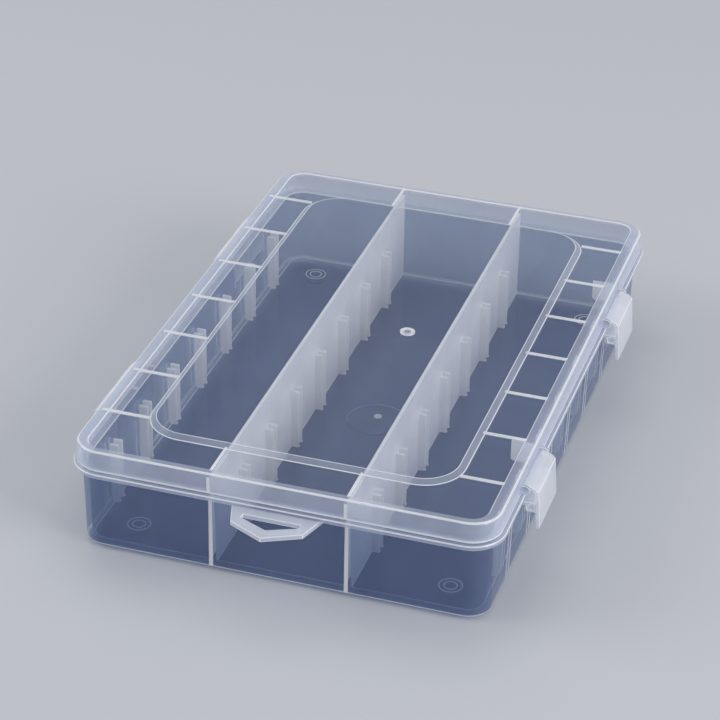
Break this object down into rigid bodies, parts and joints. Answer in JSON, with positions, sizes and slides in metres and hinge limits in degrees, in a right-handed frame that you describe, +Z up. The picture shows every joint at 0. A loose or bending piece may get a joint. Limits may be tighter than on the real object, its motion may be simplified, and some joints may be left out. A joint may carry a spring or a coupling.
{
  "type": "craft storage organizer",
  "caption": "Flat clear plastic box with a hinged lid, long bays with slots for dividers, side latches and a hang tab, for beads and craft supplies.",
  "frame": {"origin": "middle of the round pad under the floor, level with the feet that the box stands on", "axes": "+X across the box from the hinges to the latches, +Y along it from the hang tab to the back, +Z up"},
  "size_m": [0.144, 0.2153, 0.0363],
  "materials": {
    "tray_plastic": "milky see-through polypropylene, smooth",
    "lid_plastic": "milky see-through polypropylene, glossy",
    "front_latch_plastic": "milky polypropylene, whiter than the lid",
    "rear_latch_plastic": "milky polypropylene, whiter than the lid"
  },
  "bodies": {
    "tray": {"base_tray": "tray_plastic"},
    "lid": {"lid": "lid_plastic"},
    "front_latch": {"front_latch": "front_latch_plastic"},
    "rear_latch": {"rear_latch": "rear_latch_plastic"}
  },
  "joints": [
    {"name": "lid_hinge", "type": "hinge", "parent": "tray", "child": "lid", "pos_m": [-0.0693, 0.0025, 0.0259], "axis": [0, -1, 0], "range_deg": [0, 180]},
    {"name": "front_latch_hinge", "type": "hinge", "parent": "lid", "child": "front_latch", "pos_m": [0.0672, -0.0597, 0.0311], "axis": [0, -1, 0], "range_deg": [0, 90]},
    {"name": "rear_latch_hinge", "type": "hinge", "parent": "lid", "child": "rear_latch", "pos_m": [0.0672, 0.0453, 0.0311], "axis": [0, -1, 0], "range_deg": [0, 90]}
  ]
}
